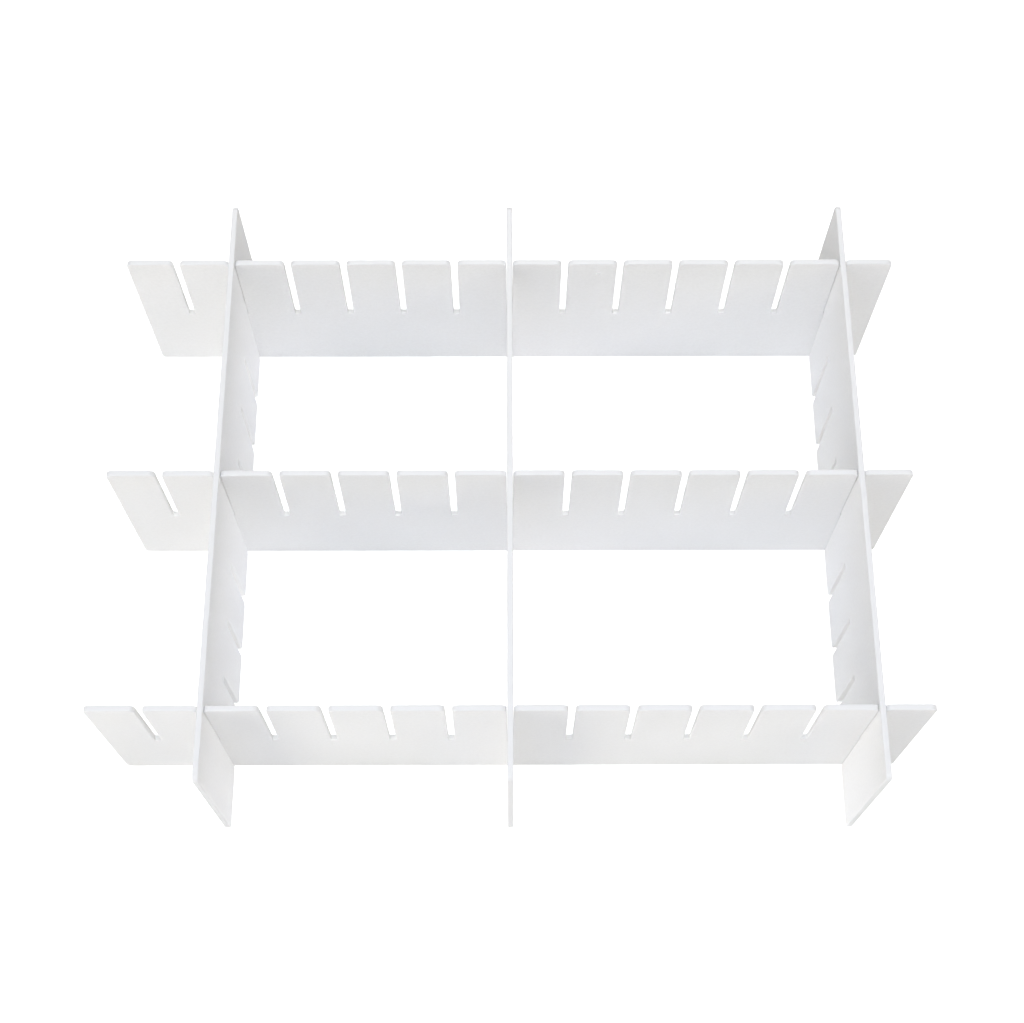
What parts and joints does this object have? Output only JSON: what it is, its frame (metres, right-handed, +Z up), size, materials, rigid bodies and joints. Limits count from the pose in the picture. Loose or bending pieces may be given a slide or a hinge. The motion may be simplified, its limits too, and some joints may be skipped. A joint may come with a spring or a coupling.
{
  "type": "drawer organizer insert",
  "caption": "Open grid drawer organizer of flat slotted plastic strips that cross-lap halfway through each other and stand on edge, forming open-bottomed cells.",
  "frame": {"origin": "centre of the footprint, on the plane that all the strips stand on", "axes": "+X along the long strips, +Y along the cross strips from front to rear, +Z up"},
  "size_m": [0.35, 0.271, 0.09],
  "materials": {
    "white_plastic": "satin moulded"
  },
  "bodies": {
    "front_long": {"front_long_divider": "white_plastic"},
    "middle_long": {"middle_long_divider": "white_plastic"},
    "rear_long": {"rear_long_divider": "white_plastic"},
    "left_cross": {"left_cross_divider": "white_plastic"},
    "middle_cross": {"middle_cross_divider": "white_plastic"},
    "right_cross": {"right_cross_divider": "white_plastic"}
  },
  "joints": [
    {"name": "middle_long_lift", "type": "slide", "parent": "front_long", "child": "middle_long", "axis": [0, 0, 1], "range_m": [0, 0.092]},
    {"name": "rear_long_lift", "type": "slide", "parent": "middle_long", "child": "rear_long", "axis": [0, 0, 1], "range_m": [0, 0.092]},
    {"name": "left_cross_lift", "type": "slide", "parent": "rear_long", "child": "left_cross", "axis": [0, 0, 1], "range_m": [0, 0.092]},
    {"name": "middle_cross_lift", "type": "slide", "parent": "rear_long", "child": "middle_cross", "axis": [0, 0, 1], "range_m": [0, 0.092]},
    {"name": "right_cross_lift", "type": "slide", "parent": "rear_long", "child": "right_cross", "axis": [0, 0, 1], "range_m": [0, 0.092]}
  ]
}
